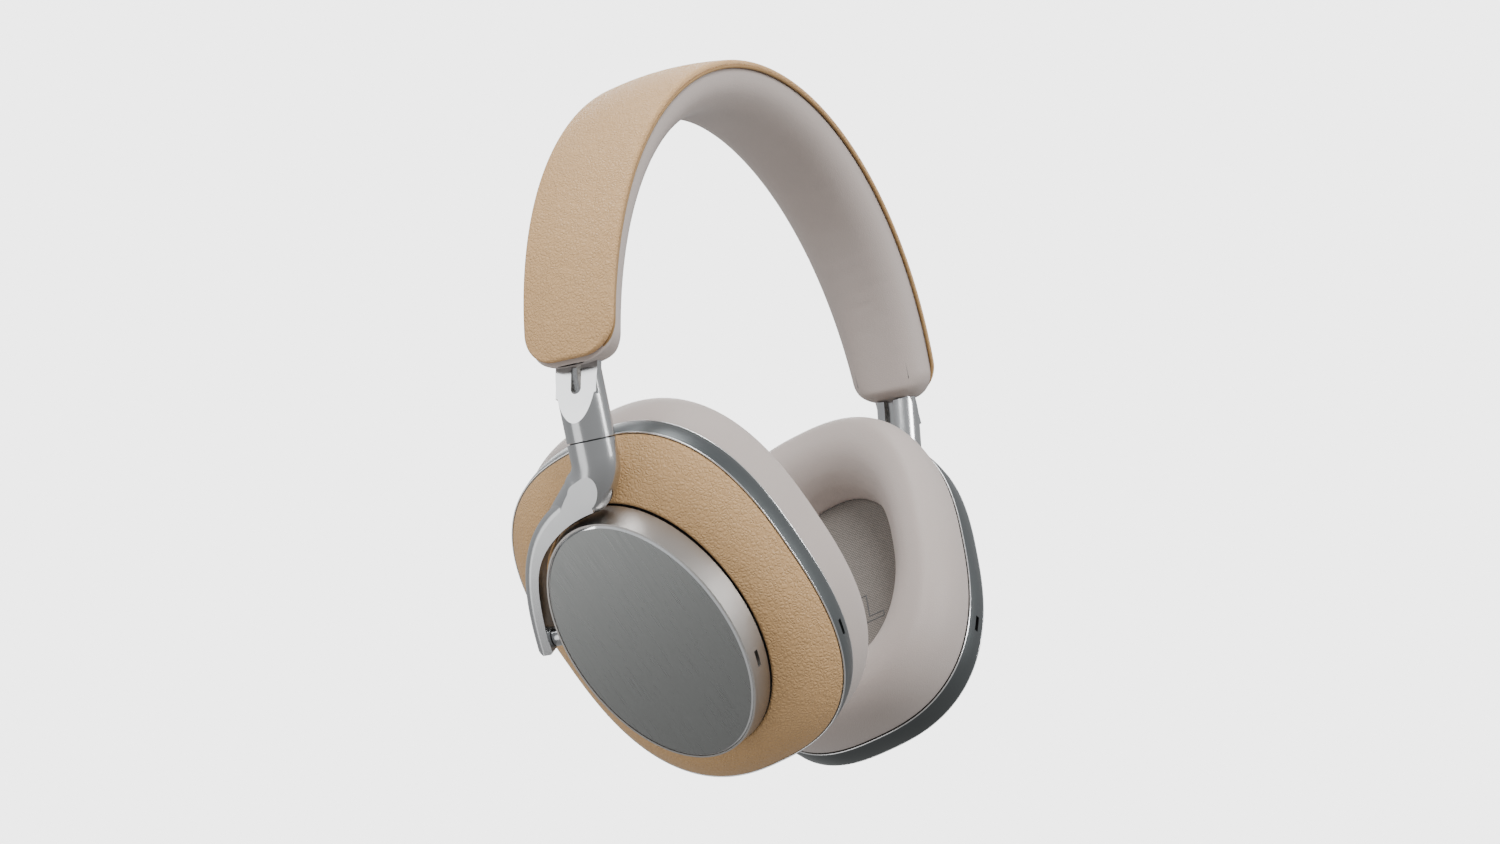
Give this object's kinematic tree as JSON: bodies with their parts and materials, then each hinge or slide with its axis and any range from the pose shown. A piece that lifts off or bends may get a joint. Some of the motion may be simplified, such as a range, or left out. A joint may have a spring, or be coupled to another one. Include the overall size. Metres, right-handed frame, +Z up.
{
  "type": "over ear headphones",
  "caption": "Wireless over-ear headphones: leather-covered sprung band, sliding arms, one-sided yokes and two oval cups with deep pads.",
  "frame": {"origin": "middle of the underside of the headband cushion, where the head carries the band", "axes": "+X to the wearer's left, -Y to the front, +Z up"},
  "size_m": [0.1942, 0.0834, 0.1963],
  "materials": {
    "tan_leather": "fine grained, satin",
    "grey_leather": "smooth, soft sheen",
    "satin_aluminium": "satin, part polished",
    "dark_aluminium": "anodised, fine blasted",
    "brushed_plate": "brushed, anodised, polished chamfer",
    "liner_fabric": "knitted acoustic cloth",
    "braid": "braided sleeve",
    "steel": "bright",
    "spring_steel": "plain",
    "black_polymer": "moulded",
    "paper_cone": "pulp cone",
    "circuit": "solder mask",
    "cell_wrap": "shrink wrap"
  },
  "bodies": {
    "headband": {"headband_cover": "tan_leather", "headband_frame": "spring_steel", "headband_cushion": "grey_leather", "end_guide_left": "black_polymer", "end_guide_right": "black_polymer", "guide_screws_left": "steel", "guide_screws_right": "steel"},
    "slider_left": {"slider_arm_left": "satin_aluminium", "slider_cable_left": "braid", "swivel_pin_left": "steel"},
    "yoke_left": {"yoke_arm_left": "satin_aluminium", "swivel_washer_left": "black_polymer", "tilt_pin_left": "steel", "pivot_cap_left": "steel"},
    "cup_left": {"pivot_boss_left": "satin_aluminium", "plate_housing_left": "satin_aluminium", "face_plate_left": "brushed_plate", "leather_panel_left": "tan_leather", "cup_shell_left": "black_polymer", "trim_ring_left": "dark_aluminium", "baffle_left": "black_polymer", "driver_basket_left": "black_polymer", "driver_magnet_left": "steel", "driver_diaphragm_left": "paper_cone", "acoustic_liner_left": "liner_fabric", "pad_plate_left": "black_polymer", "ear_pad_left": "grey_leather", "cup_screws_left": "steel", "battery": "cell_wrap"},
    "slider_right": {"slider_arm_right": "satin_aluminium", "slider_cable_right": "braid", "swivel_pin_right": "steel"},
    "yoke_right": {"yoke_arm_right": "satin_aluminium", "swivel_washer_right": "black_polymer", "tilt_pin_right": "steel", "pivot_cap_right": "steel"},
    "cup_right": {"pivot_boss_right": "satin_aluminium", "plate_housing_right": "satin_aluminium", "face_plate_right": "brushed_plate", "leather_panel_right": "tan_leather", "cup_shell_right": "black_polymer", "trim_ring_right": "dark_aluminium", "baffle_right": "black_polymer", "driver_basket_right": "black_polymer", "driver_magnet_right": "steel", "driver_diaphragm_right": "paper_cone", "acoustic_liner_right": "liner_fabric", "pad_plate_right": "black_polymer", "ear_pad_right": "grey_leather", "cup_screws_right": "steel", "circuit_board": "circuit", "usb_socket": "steel"},
    "power_switch": {"power_switch": "dark_aluminium"},
    "volume_up_button": {"volume_up_button": "dark_aluminium"},
    "volume_down_button": {"volume_down_button": "dark_aluminium"},
    "play_button": {"play_button": "dark_aluminium"},
    "quick_button": {"quick_button": "dark_aluminium"}
  },
  "joints": [
    {"name": "slider_left_slide", "type": "slide", "parent": "headband", "child": "slider_left", "axis": [0.2756, 0, -0.9613], "range_m": [-0.002, 0.018]},
    {"name": "swivel_left_hinge", "type": "hinge", "parent": "slider_left", "child": "yoke_left", "pos_m": [0.0895, 0, -0.09465], "axis": [-0.1495, 0, -0.9888], "range_deg": [-15, 85]},
    {"name": "tilt_left_hinge", "type": "hinge", "parent": "yoke_left", "child": "cup_left", "pos_m": [0.07087, 0.00091, -0.14048], "axis": [0.0776, 0.9969, -0.0117], "range_deg": [-22, 0.5]},
    {"name": "slider_right_slide", "type": "slide", "parent": "headband", "child": "slider_right", "axis": [-0.2756, 0, -0.9613], "range_m": [-0.002, 0.018]},
    {"name": "swivel_right_hinge", "type": "hinge", "parent": "slider_right", "child": "yoke_right", "pos_m": [-0.0895, 0, -0.09465], "axis": [-0.1495, 0, 0.9888], "range_deg": [-15, 85]},
    {"name": "tilt_right_hinge", "type": "hinge", "parent": "yoke_right", "child": "cup_right", "pos_m": [-0.07087, 0.00091, -0.14048], "axis": [0.0776, -0.9969, 0.0117], "range_deg": [-22, 0.5]},
    {"name": "power_switch_slide", "type": "slide", "parent": "cup_right", "child": "power_switch", "axis": [-0.4597, 0.2524, 0.8514], "range_m": [0, 0.003]},
    {"name": "volume_up_press", "type": "slide", "parent": "cup_right", "child": "volume_up_button", "axis": [-0.052, -0.9648, 0.258], "range_m": [0, 0.0005], "stiffness_N_per_m": 900, "springref_m": -0.0004},
    {"name": "play_press", "type": "slide", "parent": "cup_right", "child": "play_button", "axis": [-0.052, -0.9648, 0.258], "range_m": [0, 0.0005], "stiffness_N_per_m": 900, "springref_m": -0.0004},
    {"name": "volume_down_press", "type": "slide", "parent": "cup_right", "child": "volume_down_button", "axis": [-0.052, -0.9648, 0.258], "range_m": [0, 0.0005], "stiffness_N_per_m": 900, "springref_m": -0.0004},
    {"name": "quick_press", "type": "slide", "parent": "cup_left", "child": "quick_button", "axis": [0.052, -0.9648, 0.258], "range_m": [0, 0.0005], "stiffness_N_per_m": 900, "springref_m": -0.0004}
  ]
}
